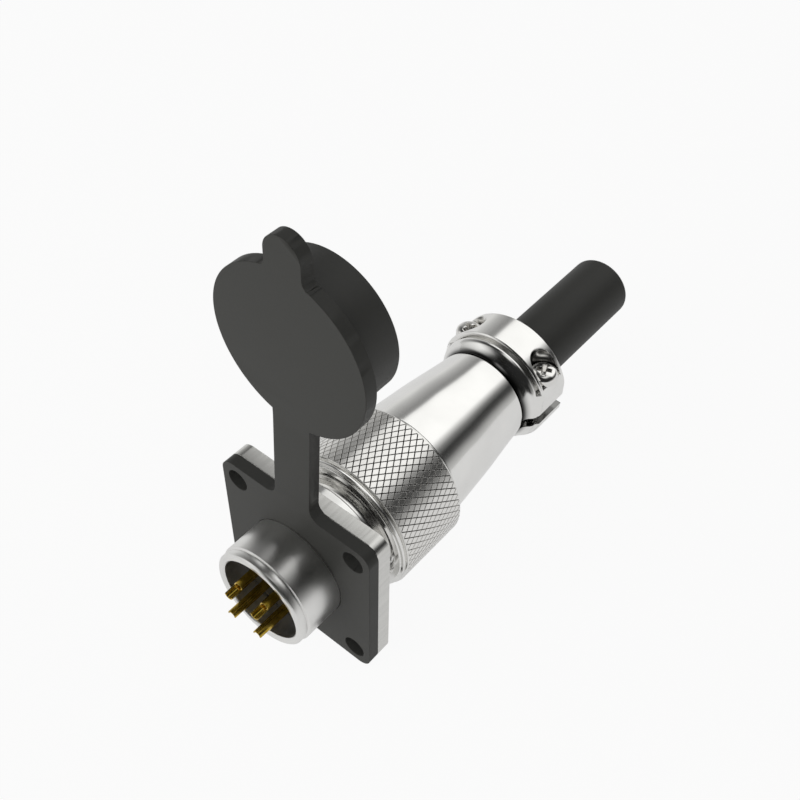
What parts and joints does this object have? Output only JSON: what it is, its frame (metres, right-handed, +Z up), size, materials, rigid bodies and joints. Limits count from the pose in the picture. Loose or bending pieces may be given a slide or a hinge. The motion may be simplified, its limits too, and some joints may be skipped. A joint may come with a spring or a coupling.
{
  "type": "circular connector",
  "caption": "Circular multi-pole panel connector with a square flange, a knurled screw coupling, a strapped rubber dust cap and a straight plug with a screwed cable clamp.",
  "frame": {"origin": "centre of the gasket's panel face, on the connector's axis", "axes": "+Y along the axis from the panel face to the cable end, +Z up along the cap's strap, +X to the side"},
  "size_m": [0.0354, 0.1178, 0.0949],
  "materials": {
    "polished_shell": "polished nickel plating over turned metal",
    "knurled_metal": "nickel plated diamond knurl",
    "cast_clamp": "nickel plated casting",
    "spring_steel": "spring steel",
    "screw_steel": "zinc plated",
    "gold_contact": "gold plated",
    "dark_insulator": "moulded, matt",
    "black_rubber": "moulded rubber, matt"
  },
  "bodies": {
    "receptacle": {"receptacle_shell": "polished_shell", "flange_gasket": "black_rubber", "receptacle_insulator": "dark_insulator", "receptacle_retaining_ring": "spring_steel", "interface_seal": "black_rubber", "contact_pin_1": "gold_contact", "contact_pin_2": "gold_contact", "contact_pin_3": "gold_contact", "contact_pin_4": "gold_contact"},
    "cap": {"dust_cap": "black_rubber"},
    "plug": {"plug_shell": "polished_shell", "plug_insulator": "dark_insulator", "plug_retaining_ring": "polished_shell", "coupling_snap_ring": "spring_steel", "clamp_upper": "cast_clamp", "cable_sleeve": "black_rubber", "contact_socket_1": "gold_contact", "contact_socket_2": "gold_contact", "contact_socket_3": "gold_contact", "contact_socket_4": "gold_contact"},
    "ring": {"coupling_ring": "knurled_metal"},
    "lower_clamp": {"clamp_lower": "cast_clamp"},
    "left_screw": {"clamp_screw_left": "screw_steel"},
    "right_screw": {"clamp_screw_right": "screw_steel"}
  },
  "joints": [
    {"name": "plug_withdraw", "type": "slide", "parent": "receptacle", "child": "plug", "axis": [0, 1, 0], "range_m": [0, 0.018]},
    {"name": "ring_turn", "type": "hinge", "parent": "plug", "child": "ring", "pos_m": [0, 0.021, 0], "axis": [0, 1, 0], "range_deg": [0, 6480]},
    {"name": "cap_fold", "type": "hinge", "parent": "receptacle", "child": "cap", "pos_m": [0, 0.0024, 0.0192], "axis": [-1, 0, 0], "range_deg": [0, 70], "stiffness_Nm_per_rad": 0.005},
    {"name": "clamp_release", "type": "slide", "parent": "plug", "child": "lower_clamp", "axis": [0, 0, -1], "range_m": [0, 0.001]},
    {"name": "left_screw_turn", "type": "hinge", "parent": "plug", "child": "left_screw", "pos_m": [-0.0096, 0.0647, 0], "axis": [0, 0, 1], "range_deg": [0, 720]},
    {"name": "right_screw_turn", "type": "hinge", "parent": "plug", "child": "right_screw", "pos_m": [0.0096, 0.0647, 0], "axis": [0, 0, 1], "range_deg": [0, 720]}
  ],
  "couplings": [
    {"joint": "ring_turn", "follows": "plug_withdraw", "rad_per_m": 6283.2},
    {"joint": "left_screw_turn", "follows": "clamp_release", "rad_per_m": 12566},
    {"joint": "right_screw_turn", "follows": "clamp_release", "rad_per_m": 12566}
  ]
}
